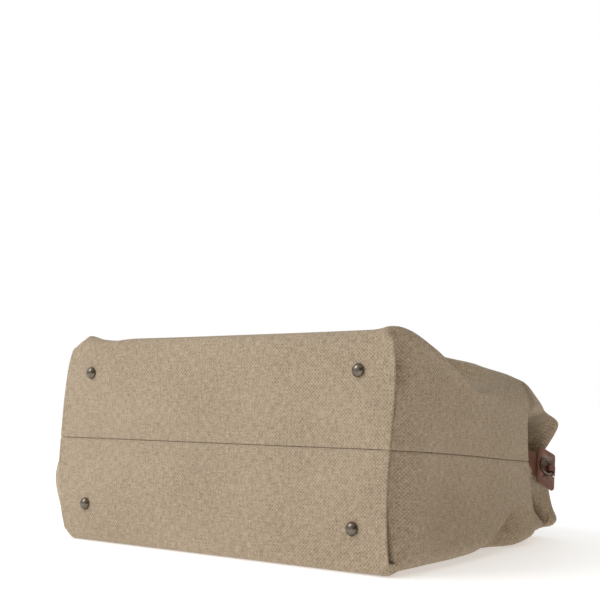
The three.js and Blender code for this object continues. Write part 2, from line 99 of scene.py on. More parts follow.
# The outline of the body from the base, t = 0, to the rim, t = 1.
half_width = through((0, 198), (0.08, 205), (0.3, 209), (0.6, 207), (0.84, 204), (1, 204))
top_height = through(
    (0, 203), (0.07, 204), (0.2, 191.5), (0.4, 178.5), (0.62, 166.5), (0.84, 150.5), (0.94, 136), (1, 123)
)
top_crown = through((0, -3), (0.25, 5), (0.55, 4), (0.85, -4), (1, -12))
seam_height = through((0, 102.5), (0.3, 95), (0.6, 86), (0.84, 79), (1, 71))
top_radius_right = through(
    (0, 10), (0.1, 10), (0.2, 14), (0.35, 26), (0.5, 32), (0.7, 28), (0.84, 14), (1, 7)
)
top_radius_left = through((0, 10), (0.1, 11), (0.3, 24), (0.6, 30), (0.84, 14), (1, 7))
floor_radius = through((0, 10), (0.3, 15), (0.7, 16), (1, 10))
RIM_LIFT = 10.0

# The base's short sides are barrel shaped: half its length at each height.
base_edge_right = through(
    (0, 203), (13, 200), (46, 196.5), (77, 196), (104, 197), (150, 200), (181, 199), (205, 195)
)
base_edge_left = through(
    (0, 188), (15, 195), (30, 200.5), (50, 205), (75, 207), (104, 205.5), (150, 202.5),
    (180, 197.5), (205, 188)
)

# Behind the crease the ends sink into a pocket, and at the rim they roll out again.
# Between pocket above and wedge below, the cloth stays out under the leather tab.
pocket_x = through(
    (0, 205), (12, 203), (30, 199), (50, 196), (62, 199), (73, 198), (82, 186), (92, 158),
    (110, 160), (120, 184), (130, 203), (145, 207)
)
rim_x = through(
    (0, 203), (12, 208), (20, 208), (30, 204), (50, 201), (62, 202), (73, 201), (84, 196),
    (95, 201), (105, 207), (113, 211), (125, 211), (140, 207)
)
BASE_OVERHANG = 1.5


def base_lean(x, z):
    """How far the base stands out, as Y: its lower edge is further forward, most at the right."""
    return -(13 + 4 * x / 196) * (1 - z / BASE_DEPTH)


def crumple(a, b, size):
    """A shallow irregular waviness: the sum of five sine waves, with unlike directions and
    lengths, of the two places a and b measured in units of size."""
    waves = [(1.0, 0.35, 0.6), (-0.55, 1.15, 2.1), (0.8, 1.7, 4.4), (2.3, -0.7, 1.3), (1.4, 2.6, 5.2)]
    return sum(np.sin((p * a + q * b) / size + phase) / (1 + 0.4 * i)
               for i, (p, q, phase) in enumerate(waves)) / 3


def end_x(hand, y, z):
    """The outline of one end's cloth, as its distance from the bag's middle: the width of the
    body, plus swellings and hollows, a crease at CREASE_Y, the pocket behind it and the rim."""
    t = y / BAG_HEIGHT
    swell = 7 * bump(z, 0, 45) + 1.2 * crumple(y, z, 28)
    swell = swell + 3.0 * bump(y, 34, 20) * bump(z, 62, 38) - 3.5 * bump(y, 66, 26) * bump(z, 56, 30)
    if hand > 0:
        hollow = 11 * bump(z, 174, 19) + 6 * bump(z, 52, 34) + 3 * bump(z, 115, 34)
        swell = swell - hollow * bump(y, 8, 12) - 5 * bump(z, 0, 16) * (1 - rise(y, 50, 90))
        crest = np.maximum(187 - 0.5 * (y - 59), 152)
        above = np.maximum(z - crest, 0) + np.log1p(np.exp(-np.abs(z - crest) / 1.5)) * 1.5
        facet = rise(y, 34, 62) * (1 - rise(y, 140, 185))
        swell = swell + (3.5 * bump(z, crest, 7) - 2.3 * above) * facet
        below = rise((y - 130) * 0.44 - (z - 6), -1.5, 3) * (1 - rise(y, 180, 215))
        swell = swell - 15 * below * rise(z, -12, 6)
    else:
        swell = swell + 27 * bump(t, 0.06, 0.12) * bump(z, 60, 42) * rise(y, 0, 26)
    width = half_width(t) + swell * rise(y, -2, 11)
    wedge_y = 259 + 0.92 * (49 - z)
    pocket = pocket_x(z) - 24 * bump(y, wedge_y, 6) * rise(z, 4, 26) * (1 - rise(z, 56, 66))
    sunk = width + (pocket - width) * rise(y, CREASE_Y, CREASE_Y + 12)
    return sunk + (rim_x(z) - sunk) * rise(y, 276, BAG_HEIGHT) ** 1.3


# Columns round one half, from the seam of the right end, up round its corner, along the panel
# and down the left end. Rows run from the rim to the base.
near_seam = np.array([0, 0.4, 1.0, 1.9, 3.2]) / 100
gusset_share = np.concatenate([near_seam, np.linspace(0.055, 1, 41)])
corner_share = np.linspace(0, 1, 13)[1:]
panel_share = np.linspace(1, -1, 151)[1:-1]
ones = np.ones_like
column_hand = np.concatenate([ones(gusset_share), ones(corner_share), 0 * panel_share,
                              -ones(corner_share), -ones(gusset_share)])
column_gusset = np.concatenate([gusset_share, ones(corner_share), ones(panel_share),
                                ones(corner_share), gusset_share[::-1]])
column_corner = np.concatenate([0 * gusset_share, corner_share, ones(panel_share),
                                corner_share[::-1], 0 * gusset_share])
column_panel = np.concatenate([ones(gusset_share), ones(corner_share), panel_share,
                               -ones(corner_share), -ones(gusset_share)])
GUSSET_COLUMNS, CORNER_COLUMNS = len(gusset_share), len(corner_share)
END_COLUMNS = (slice(0, GUSSET_COLUMNS), slice(len(column_hand) - GUSSET_COLUMNS, None))
BASE_COLUMNS = slice(GUSSET_COLUMNS - 1, len(column_hand) - GUSSET_COLUMNS + 1)
fold_start = FOLD_RADIUS / BAG_HEIGHT
wall_rows = np.concatenate([np.linspace(1, 0.78, 40), np.linspace(0.78, 0.1, 76)[1:],
                            np.linspace(0.1, fold_start, 13)[1:]])


def seam_dip(distance):
    """How far cloth turns in at a seam, at a distance along it from the seam line."""
    return 1.5 * np.exp(-distance / 0.6)


def wall_points(t, half, seams=True):
    """The outer face of the walls of one half at the rows t, as (rows, columns, 3). The section
    is a rounded box: straight ends, quarter-round corners and a crowned panel. The ends then
    take the outline of end_x, and near the base the barrel shape of its short sides."""
    t = t[:, None]
    share = (column_panel + 1) / 2
    if half > 0:
        radius = top_radius_left(t) * (1 - share) + top_radius_right(t) * share
        edge, crown = top_height(t), top_crown(t)
    else:
        radius = floor_radius(t) + 0 * share
        edge, crown = RIM_LIFT * rise(t, 0.72, 1), 0.0
        edge = edge + 2.5 * rise(column_panel, 0.8, 1) * rise(t, 0.02, 0.06) * (1 - rise(t, 0.5, 0.75))
    turn = column_corner * math.pi / 2
    width, seam = half_width(t), seam_height(t)
    x = column_panel * (width - radius) + column_hand * radius * np.cos(turn)
    z = seam + (edge - half * radius - seam) * column_gusset + half * radius * np.sin(turn)
    on_panel = column_corner * (1 - column_panel**2)
    z = z + crown * on_panel
    y = t * BAG_HEIGHT + 0 * x
    side = np.abs(x / width) ** 8
    right = (end_x(1, y, z) - width) * side * (x > 0)
    left = (end_x(-1, y, z) - width) * side * (x < 0)
    x = x + right - left
    near_base = (1 - rise(t, 0, 0.12)) * np.abs(x / width) ** 4
    x = x + near_base * np.where(x > 0, base_edge_right(z) - BASE_HALF_LENGTH,
                                 BASE_HALF_LENGTH - base_edge_left(z))
    if seams:
        x = x - np.sign(x) * seam_dip(np.abs(z - seam)) * (column_corner == 0)
    if half > 0:
        z = z + top_waves(x, y) * rise(column_corner, 0.3, 1)
    y = y + base_lean(x, z) * (1 - t) ** 2
    y = y - 11 * bump(z, 71, 19) * rise(t, 0.88, 1) * np.abs(x / width) ** 6
    return np.stack([x, y, z], -1)


def top_waves(x, y):
    """Height of the soft dents and swellings in the front panel."""
    peak = 4.5 * bump(x, 200, 14) * bump(y, 6, 16) - 2.5 * bump(x, -150, 18) * bump(y, 0, 30)
    peak = peak + 4 * bump(x, -190, 12) * bump(y, 22, 14) - 4 * bump(x, -194, 12) * bump(y, 2, 8)
    slack = 1.6 * crumple(x, y, 55) * rise(y, 10, 60) * (1 - rise(y, 205, 245))
    shoulder = 11 * rise(x, 50, 150) * rise(y, 45, 95) * (1 - rise(y, 255, 290))
    return peak + slack + shoulder - 3 * bump(x, 60, 70) * bump(y, 150, 50)


def inset(grid, half, depth):
    """The grid moved inwards along its normals, the crossed differences between each point's
    neighbours. In the columns at the seams it moves level, so that the halves still meet."""
    out = np.cross(np.gradient(grid, axis=1), np.gradient(grid, axis=0))
    out[:, [0, -1], 2] = 0
    out = out / np.linalg.norm(out, axis=2, keepdims=True)
    middle = out[len(out) // 2, out.shape[1] // 2, 2]
    return grid - depth * out * np.sign(middle * half)


def hem_rows(walls, half):
    """Rows that roll the cloth in at the rim and take it down the inside, innermost first. Each
    step is (past the rim, inwards)."""
    past = walls[0] - walls[2]
    past = past / np.linalg.norm(past, axis=1, keepdims=True)
    inwards = inset(walls[:4], half, 1.0)[0] - walls[0]
    steps = [(-9.0, 3.6), (-5.0, 3.6), (-2.0, 3.4), (0.6, 2.8), (1.2, 1.6), (1.0, 0.5)]
    return np.stack([walls[0] + a * past + b * inwards for a, b in steps])


def base_points(half, wall_end):
    """The fold round the base's long edge and half of the base, from the last row of the wall
    to the seam along the base's middle, as (rows, columns, 3). Only corner and panel columns
    run on. In the fold Y falls and Z moves in along a quarter circle; the corner columns
    open out flat, so that the base ends in a square corner."""
    start = wall_end[BASE_COLUMNS]
    corner = column_corner[BASE_COLUMNS]
    side = np.sign(start[:, 0])
    reach = np.where(side > 0, start[0, 0], -start[-1, 0])
    straight = np.where(side > 0, np.abs(start[12, 0]), np.abs(start[-13, 0]))
    flat = np.where(corner < 1, straight + (reach - straight) * (1 - corner), np.abs(start[:, 0]))
    corner_z = np.where(side > 0, start[12, 2], start[-13, 2])
    flat_z = np.where(corner < 1, corner_z, start[:, 2]) - half * (FOLD_RADIUS + 2.5 * (1 - corner) ** 2)

    def spread(z):
        """X of every column on the flat base at the heights z."""
        edge = np.where(side > 0, base_edge_right(z), base_edge_left(z)) + BASE_OVERHANG
        return side * (flat + (edge - reach) * (flat / reach) ** 4)

    quarter = np.radians(np.linspace(0, 90, 8))[1:, None]
    z = start[:, 2] + (flat_z - start[:, 2]) * (1 - np.cos(quarter))
    x = start[:, 0] + (spread(z) - start[:, 0]) * np.sin(quarter)
    y = FOLD_RADIUS * (1 - np.sin(quarter)) + base_lean(x, z)
    fold = np.stack([x, y, z], -1)
    seam = BASE_DEPTH / 2
    near = np.array([3.2, 1.9, 1.0, 0.4, 0]) / 100
    down = np.concatenate([np.linspace(1, 0.055, 41)[1:], near])[:, None]
    z = seam + (fold[-1, :, 2] - seam) * down
    x = spread(z)
    y = base_lean(x, z) + base_waves(x, z) * rise(1 - down, 0, 0.2)
    y = y + seam_dip(np.abs(z - seam))
    return np.concatenate([fold, np.stack([x, y, z], -1)])


def base_waves(x, z):
    """Depth of the dents in the base: slack cloth over the board, flat under each foot, and a
    crease above the long lower edge at the right."""
    by_foot = bump(np.abs(x), FOOT_X, 16) * bump(np.abs(z - BASE_DEPTH / 2), FOOT_Z, 16)
    slack = 0.9 * crumple(x, z, 34) + 0.9 * bump(x, -150, 5) * bump(z, 165, 26)
    crease = 3.2 * bump(z, 9, 3.5) * rise(x, 150, 178)
    return (slack + crease) * (1 - by_foot) + 0.5 * by_foot


def tuck(points, hand_column, steps):
    """Extra columns that turn the base's edge in: each step is (outwards, backwards)."""
    edge = points[:, hand_column]
    out = np.sign(edge[:, :1])
    moved = [np.stack([edge[:, 0] + out[:, 0] * a, edge[:, 1] + b, edge[:, 2]], -1) for a, b in steps]
    return np.stack(moved, 1)


def grid_faces(rows, columns, start=0, wrap=False):
    """Quads between neighbouring rows and columns of a grid, numbered row by row from start."""
    row = np.arange(rows - 1)[:, None] * columns
    column = np.arange(columns if wrap else columns - 1)[None, :]
    after = (column + 1) % columns
    corners = [row + column, row + after, row + columns + after, row + columns + column]
    return np.stack(corners, -1).reshape(-1, 4) + start


def add_piece(name, grids, body, material, replaces=(), uvs=None, caps=(), flip=False, wrap=False):
    """A named mesh from grids of points in millimetres, riding on a body. A cap closes a row of a wrapped
    grid with one face."""
    points, faces, start = [], [], 0
    for grid in grids:
        rows, columns = grid.shape[:2]
        faces.extend(grid_faces(rows, columns, start, wrap).tolist())
        for row in caps:
            ring = (np.arange(columns) + start + (rows - 1) * columns * (row == "last")).tolist()
            faces.append(ring if row == "last" else ring[::-1])
        points.append(grid.reshape(-1, 3))
        start += rows * columns
    if flip:
        faces = [face[::-1] for face in faces]
    mesh = bpy.data.meshes.new(name)
    mesh.from_pydata((np.concatenate(points) * MM + ORIGIN).tolist(), [], faces)
    if uvs is not None:
        loops = np.zeros(len(mesh.loops), np.int32)
        mesh.loops.foreach_get("vertex_index", loops)
        layer = mesh.uv_layers.new(name="cloth")
        layer.data.foreach_set("uv", uvs.reshape(-1, 2)[loops].astype(np.float32).ravel())
    mesh.polygons.foreach_set("use_smooth", np.ones(len(mesh.polygons), bool))
    mesh.validate()
    piece = bpy.data.objects.new(name, mesh)
    bpy.context.scene.collection.objects.link(piece)
    mesh.materials.append(material)
    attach(piece, body)
    if replaces:
        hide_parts(*replaces)
    return piece


def weld(piece, distance=1e-7, closed=True):
    """Merges vertices of a piece that lie within a distance, in metres, of each other. The faces
    of a closed piece are then turned outwards."""
    shape = bmesh.new()
    shape.from_mesh(piece.data)
    bmesh.ops.remove_doubles(shape, verts=shape.verts, dist=distance)
    if closed:
        bmesh.ops.recalc_face_normals(shape, faces=shape.faces)
    shape.to_mesh(piece.data)
    shape.free()


def thicken(piece, thick):
    """Gives a sheet its thickness in millimetres, on its inner side."""
    wall = piece.modifiers.new("thickness", "SOLIDIFY")
    wall.thickness = thick * MM
    wall.offset = -1
    wall.use_even_offset = False


def wall_uv(grid):
    """Place on the flat cloth of one half: distance along each row from its end seams, with the
    panel's columns stretched a little so that every row has its middle at the same place, and
    distance down the panel's middle."""
    steps = np.linalg.norm(np.diff(grid, axis=1), axis=2)
    middle = grid.shape[1] // 2
    halves = []
    for sizes in (steps[:, :middle], steps[:, middle:][:, ::-1]):
        along = np.concatenate([np.zeros((len(grid), 1)), np.cumsum(sizes, axis=1)], 1)
        edge = along[:, GUSSET_COLUMNS + CORNER_COLUMNS - 1][:, None]
        length = along[:, -1:].mean()
        stretched = edge + (along - edge) * (length - edge) / (along[:, -1:] - edge)
        halves.append(np.where(along > edge, stretched, along))
    right, left = halves
    whole = right[:, -1:].mean() + left[:, -1:].mean()
    down = np.concatenate([[0], np.cumsum(np.linalg.norm(np.diff(grid[:, middle], axis=0), axis=1))])
    along = np.concatenate([right, whole - left[:, -2::-1]], 1)
    return np.stack([along, np.broadcast_to(down[:, None], along.shape)], -1) * MM


def colour(hex_code):
    """An sRGB hex value as the linear colour that a shader takes."""
    value = np.array([int(hex_code[i : i + 2], 16) for i in (0, 2, 4)]) / 255
    linear = np.where(value <= 0.04045, value / 12.92, ((value + 0.055) / 1.055) ** 2.4)
    return (*linear.tolist(), 1.0)


def add_node(tree, kind, inputs=None, **settings):
    """A new shader node with its settings. inputs gives each socket a value or an output."""
    made = tree.nodes.new("ShaderNode" + kind)
    for name, value in settings.items():
        setattr(made, name, value)
    for socket, value in (inputs or {}).items():
        if isinstance(value, bpy.types.NodeSocket):
            tree.links.new(value, made.inputs[socket])
        else:
            made.inputs[socket].default_value = value
    return made


def start_material(name, **shader):
    """A new material with its shader's own sockets set. Returns it, its nodes and its shader."""
    material = bpy.data.materials.new(name)
    material.use_nodes = True
    tree = material.node_tree
    principled = tree.nodes["Principled BSDF"]
    for socket, value in shader.items():
        principled.inputs[socket.replace("_", " ")].default_value = value
    return material, tree, principled


def woven_cloth(name, light, dark, thread, slub, relief):
    """Plain-woven cotton. thread is the spacing of its threads in millimetres, drawn about half
    as coarse again as real so that single threads show; slub is how unlike they are."""
    wander_by, check_share, fade_share, yarn_length = 0.0006, 0.22, 0.35, 4
    material, tree, shader = start_material(name, Roughness=0.93, Sheen_Weight=0.12, Sheen_Roughness=0.6,
                                            Specular_IOR_Level=0.2)
    place = add_node(tree, "UVMap", uv_map="cloth").outputs["UV"]
    wander = add_node(tree, "TexNoise", {"Vector": place, "Scale": 90.0, "Detail": 2.0})
    shift = add_node(tree, "VectorMath", {0: wander.outputs["Color"], 1: (0.5, 0.5, 0.5)},
                     operation="SUBTRACT")
    bent = add_node(tree, "VectorMath",
                    {0: shift.outputs[0], 1: (wander_by, wander_by, 0.0), 2: place},
                    operation="MULTIPLY_ADD")
    turns = 1 / (thread * MM)
    yarns = []
    for across, along in ((turns, turns / yarn_length), (turns / yarn_length, turns)):
        stretched = add_node(tree, "Mapping", {"Vector": bent.outputs[0], "Scale": (across, along, 1.0)})
        yarn = {"Vector": stretched.outputs[0], "Scale": 1.0, "Detail": 2.0, "Roughness": 0.6}
        yarns.append(add_node(tree, "TexNoise", yarn))
    checks = add_node(tree, "Mapping", {"Vector": bent.outputs[0], "Scale": (turns, turns, 1.0)})
    parts = add_node(tree, "SeparateXYZ", {0: checks.outputs[0]})
    waves = []
    for axis in (0, 1):
        phase = add_node(tree, "Math", {0: parts.outputs[axis], 1: math.pi}, operation="MULTIPLY")
        waves.append(add_node(tree, "Math", {0: phase.outputs[0]}, operation="SINE"))
    over_under = add_node(tree, "Math", {0: waves[0].outputs[0], 1: waves[1].outputs[0]},
                          operation="MULTIPLY")
    both = add_node(tree, "Math", {0: yarns[0].outputs["Fac"], 1: yarns[1].outputs["Fac"]},
                    operation="ADD")
    weave = add_node(tree, "Math", {0: over_under.outputs[0], 1: check_share, 2: both.outputs[0]},
                     operation="MULTIPLY_ADD")
    fade = add_node(tree, "TexNoise", {"Vector": place, "Scale": 14.0, "Detail": 4.0})
    tone = add_node(tree, "Math", {0: fade.outputs["Fac"], 1: fade_share, 2: weave.outputs[0]},
                    operation="MULTIPLY_ADD")
    middle = 1 + fade_share / 2
    spread = add_node(tree, "MapRange",
                      {"Value": tone.outputs[0], "From Min": middle - slub, "From Max": middle + slub})
    mixed = add_node(tree, "Mix", {"Factor": spread.outputs[0], "A": colour(dark), "B": colour(light)},
                     data_type="RGBA")
    tree.links.new(mixed.outputs["Result"], shader.inputs["Base Color"])
    raised = add_node(tree, "Bump",
                      {"Height": weave.outputs[0], "Strength": 1.0, "Distance": relief * MM})
    tree.links.new(raised.outputs[0], shader.inputs["Normal"])
    return material


# Heavy cotton canvas, garment washed: matt, slubby, its dye faded unevenly to a warm khaki.
canvas = woven_cloth("washed_khaki_cotton_canvas", "C2AE96", "8E7E67", thread=1.7, slub=0.38, relief=0.7)
EDGE_TURN = 2.2  # how far the ends' lower edge curls in to the seam round the base
MIDDLE_COLUMN = 100  # a column near the middle of the panel and of the base

for half, side in ((1, "front"), (-1, "back")):
    walls = wall_points(wall_rows, half)
    walls = np.concatenate([hem_rows(walls, half), walls])
    base = base_points(half, walls[-1])
    turned = [(0.5, 0.6), (0.4, 1.4), (-1.2, 2.0), (-7.0, 2.2)]
    base = np.concatenate([tuck(base, 0, turned)[:, ::-1], base, tuck(base, -1, turned)], 1)
    sides = []
    quarter = np.radians([15, 30, 45, 60, 75, 90])[:, None]
    for columns in END_COLUMNS:
        row = walls[-1, columns]
        hand = np.sign(row[:, 0])
        lip = np.where(hand > 0, base_edge_right(row[:, 2]), base_edge_left(row[:, 2])) + BASE_OVERHANG
        inner = np.minimum(lip, np.abs(row[:, 0])) - EDGE_TURN
        x = hand * (inner + (np.abs(row[:, 0]) - inner) * np.cos(quarter))
        y = row[:, 1] - EDGE_TURN * np.sin(quarter)
        grooved = [(x[-1] - hand * away, y[-1] - 0.3) for away in (0.8, 2.0, 7.0)]
        x = np.concatenate([x, [place[0] for place in grooved]])
        y = np.concatenate([y, [place[1] for place in grooved]])
        sides.append(np.concatenate([row[None], np.stack([x, y, row[:, 2] + 0 * x], -1)]))
    shared = walls[-1:, BASE_COLUMNS]
    folded = [(-0.1, -0.1), (-0.3, -0.2), (-1.2, -0.2), (-4.0, 0.0)]
    start_tuck = np.concatenate([tuck(shared, 0, folded)[:, ::-1], shared, tuck(shared, -1, folded)], 1)
    base = np.concatenate([start_tuck, base])
    on_walls = wall_uv(walls)
    base_down = np.cumsum(np.linalg.norm(np.diff(base[:, MIDDLE_COLUMN], axis=0), axis=1))
    base_down = np.concatenate([[0], base_down])[:, None] * MM
    base_along = np.concatenate([[0], np.cumsum(np.linalg.norm(np.diff(base[-1], axis=0), axis=1))]) * MM
    base_uv = np.stack(np.broadcast_arrays(base_along, on_walls[-1, MIDDLE_COLUMN, 1] + base_down), -1)
    side_uvs = []
    for columns, grid in zip(END_COLUMNS, sides):
        down = np.concatenate([np.zeros((1, grid.shape[1])),
                               np.cumsum(np.linalg.norm(np.diff(grid, axis=0), axis=2), axis=0)]) * MM
        side_uvs.append(np.stack([np.broadcast_to(on_walls[-1, columns, 0], down.shape),
                                  on_walls[-1, columns, 1] + down], -1))
    uvs = np.concatenate([g.reshape(-1, 2) for g in (on_walls, base_uv, *side_uvs)])
    piece = add_piece(f"{side}_canvas_cloth", [walls, base, *sides], "bag", canvas,
                      replaces=[f"{side}_canvas"], uvs=uvs, flip=half < 0)
    weld(piece, 1e-6, closed=False)
    thicken(piece, CANVAS_THICK)

# ---------------------------------------------------------------- facing and lining
# A canvas facing runs round the inside of the mouth. Below it hangs a lining of cotton twill,
# sewn to the facing's edge, with a separate bottom that covers the base board.
FACING_DEPTH, FACING_THICK = 4.0, 1.2
LINING_DEPTH, LINING_THICK = 2.6, 0.8
BOTTOM_LIFT = 7.4  # from the base's outer face to the lining over the board

# Cotton twill: thinner and smoother than the canvas, and a darker, greyer brown.
lining_cloth = woven_cloth("brown_cotton_twill", "94836F", "74654F", thread=1.4, slub=0.55, relief=0.2)
facing_rows = np.linspace(0.99, 0.848, 26)
lining_rows = np.concatenate([np.linspace(0.862, 0.1, 90), np.linspace(0.1, 0.03, 8)[1:]])
lining_ends = []
for half, side in ((1, "front"), (-1, "back")):
    facing = inset(wall_points(facing_rows, half, seams=False), half, FACING_DEPTH)
    piece = add_piece(f"{side}_facing_cloth", [facing], "bag", canvas,
                      replaces=[f"{side}_facing"], uvs=wall_uv(facing), flip=half < 0)
    thicken(piece, FACING_THICK)
    hung = inset(wall_points(lining_rows, half, seams=False), half, LINING_DEPTH)
    piece = add_piece(f"{side}_lining_cloth", [hung], "bag", lining_cloth,
                      replaces=[f"{side}_lining"], uvs=wall_uv(hung), flip=half < 0)
    thicken(piece, LINING_THICK)
    lining_ends.append(hung[-1])

# The bottom of the lining: rings that shrink from the walls' lower edge to the middle.
ring = np.concatenate([lining_ends[0], lining_ends[1][-2:0:-1]])
shrink = np.concatenate([[1, 0.99, 0.97], np.linspace(0.93, 0, 30)])[:, None]
bottom_x = ring[:, 0] * shrink
bottom_z = BASE_DEPTH / 2 + (ring[:, 2] - BASE_DEPTH / 2) * shrink
bottom_y = base_lean(bottom_x, bottom_z) + BOTTOM_LIFT + 0.4 * crumple(bottom_x, bottom_z, 30)
bottom_y = bottom_y + (ring[:, 1] - bottom_y[0]) * rise(shrink, 0.97, 1)
bottom = np.stack([bottom_x, bottom_y, bottom_z], -1)
piece = add_piece("base_lining_cloth", [bottom], "bag", lining_cloth, replaces=["base_lining"],
                  uvs=bottom[:, :, [0, 2]] * MM, wrap=True)
weld(piece, 1e-6, closed=False)
thicken(piece, LINING_THICK)

# ---------------------------------------------------------------- base board and feet
# A sheet of dark fibreboard stiffens the base. Four domed feet of aged nickel are riveted through
# the canvas and the board over round washers.
# Pressed fibreboard: matt and nearly black, flecked with paler fibres.
board_fibre, board_tree, board_shader = start_material("dark_pressed_fibreboard", Roughness=0.85)
fibre_place = add_node(board_tree, "TexCoord").outputs["Object"]
fibres = add_node(board_tree, "TexNoise", {"Vector": fibre_place, "Scale": 700.0, "Detail": 4.0})
fibre_tone = add_node(board_tree, "Mix", {"Factor": fibres.outputs["Fac"], "A": colour("2A241E"),
                                          "B": colour("4A4138")}, data_type="RGBA")
board_tree.links.new(fibre_tone.outputs["Result"], board_shader.inputs["Base Color"])
bpy.data.objects["base_board"].material_slots[0].material = board_fibre

# Nickel plate left to age: dark brown-grey, still bright where hands rub it.
aged_nickel, nickel_tree, nickel_shader = start_material("aged_nickel_plate", Metallic=1.0)
nickel_place = add_node(nickel_tree, "TexCoord").outputs["Object"]
tarnish = add_node(nickel_tree, "TexNoise",
                   {"Vector": nickel_place, "Scale": 260.0, "Detail": 5.0, "Roughness": 0.65})
tarnish_tone = add_node(nickel_tree, "Mix", {"Factor": tarnish.outputs["Fac"], "A": colour("3E362E"),
                                             "B": colour("94897C")}, data_type="RGBA")
tarnish_gloss = add_node(nickel_tree, "MapRange",
                         {"Value": tarnish.outputs["Fac"], "To Min": 0.34, "To Max": 0.2})
nickel_tree.links.new(tarnish_tone.outputs["Result"], nickel_shader.inputs["Base Color"])
nickel_tree.links.new(tarnish_gloss.outputs[0], nickel_shader.inputs["Roughness"])
scuffs = add_node(nickel_tree, "Bump",
                  {"Height": tarnish.outputs["Fac"], "Strength": 0.3, "Distance": 0.1 * MM})
nickel_tree.links.new(scuffs.outputs[0], nickel_shader.inputs["Normal"])


def unit(vector):
    """A vector, or each of many, at length 1."""
    vector = np.asarray(vector, float)
    return vector / np.linalg.norm(vector, axis=-1, keepdims=True)


def lathe(profile, segments=40):
    """A shape turned round its own z axis from (radius, height) pairs, as (rows, columns, 3)."""
    radius, height = np.array(profile, float).T[:, :, None]
    angle = np.linspace(0, 2 * math.pi, segments, endpoint=False)
    return np.stack([radius * np.cos(angle), radius * np.sin(angle), height + 0 * angle], -1)


def placed(grid, centre, axes):
    """A local shape turned so that its x, y and z lie along three axes, then moved to a centre."""
    return grid @ np.array(axes, float) + np.array(centre, float)


def axes_about(out, along):
    """Three square axes: z is out, x is as near as can be to along."""
    out = unit(out)
    up = unit(np.cross(out, along))
    return np.array([np.cross(up, out), up, out])


FOOT_PROFILE = [(0, -8), (1.6, -8), (1.6, -0.2), (5.2, -0.2), (5.8, 0.1), (6.0, 0.7), (5.9, 1.4),
                (5.5, 2.3), (4.8, 3.2), (3.9, 3.95), (2.8, 4.5), (1.5, 4.85), (0, 4.95)]
for hand, side in ((1, "right"), (-1, "left")):
    for half, face in ((1, "front"), (-1, "back")):
        x, z = hand * FOOT_X, BASE_DEPTH / 2 + half * FOOT_Z
        slope_x = base_lean(x + 0.5, z) - base_lean(x - 0.5, z)
        slope_z = base_lean(x, z + 0.5) - base_lean(x, z - 0.5)
        axes = axes_about((slope_x, -1, slope_z), (1, 0, 0))
        seat = (x, base_lean(x, z) + base_waves(x, z), z)
        dome = placed(lathe(FOOT_PROFILE, 48), seat, axes)
        weld(add_piece(f"dome_foot_{face}_{side}", [dome], "bag", aged_nickel,
                       replaces=[f"foot_{face}_{side}"], wrap=True))
        bpy.data.objects[f"foot_washer_{face}_{side}"].material_slots[0].material = aged_nickel

# ---------------------------------------------------------------- magnetic snap
# A magnetic snap of aged nickel closes the mouth: a stud on the front facing and a socket on the
# back one, each clenched over a washer behind the facing.
PANEL_STEP = 0.02


def panel_frame(half, x, t):
    """The panel's outer face at x and t: its place, the way to the rim along it, and out of it."""
    flat = half_width(t) - 12

    def height(t):
        crown = top_crown(t) * (1 - (x / flat) ** 2) if half > 0 else 0.0
        return (top_height(t) if half > 0 else RIM_LIFT * rise(t, 0.72, 1)) + crown

    place = np.array([x, t * BAG_HEIGHT, float(height(t))])
    before = np.array([x, (t - PANEL_STEP) * BAG_HEIGHT, float(height(t - PANEL_STEP))])
    along = unit(place - before)
    return place, along, half * np.array([0, -along[2], along[1]])


SNAP_DEPTH = FACING_DEPTH + FACING_THICK
STUD = [(0, -0.2), (8.6, -0.2), (9, 0.3), (9, 1.2), (8.6, 1.6), (3.9, 1.8), (3.4, 2.2), (3.4, 2.9),
        (2.9, 3.2), (0, 3.2)]
SOCKET = [(0, -0.2), (8.6, -0.2), (9, 0.3), (9, 2.3), (8.5, 2.8), (5.0, 3.2), (4.2, 3.1), (4.0, 2.8),
          (4.0, 1.4), (0, 1.4)]
for half, name, profile in ((1, "snap_stud", STUD), (-1, "snap_socket", SOCKET)):
    place, along, out = panel_frame(half, 0.0, 0.92)
    disc = placed(lathe(profile, 48), place - SNAP_DEPTH * out, axes_about(-out, along))
    weld(add_piece(f"magnetic_{name}", [disc], "bag", aged_nickel, replaces=[name], wrap=True))
    bpy.data.objects[f"{name}_washer"].material_slots[0].material = aged_nickel

# ---------------------------------------------------------------- handle chapes and rivets
# Four straps of brown cowhide are stitched and riveted to the panels near the mouth. Each is
# folded at its top round one bar of an oblong ring.
CHAPE_WIDTH, CHAPE_THICK, CHAPE_TAIL, CHAPE_LIFT, CHAPE_PAST_RIM = 20.0, 2.2, 44.0, 0.9, 5.0
EYE_INNER, EYE_OUTER = 2.35, 4.0
EYE_MIDDLE = (EYE_INNER + EYE_OUTER) / 2

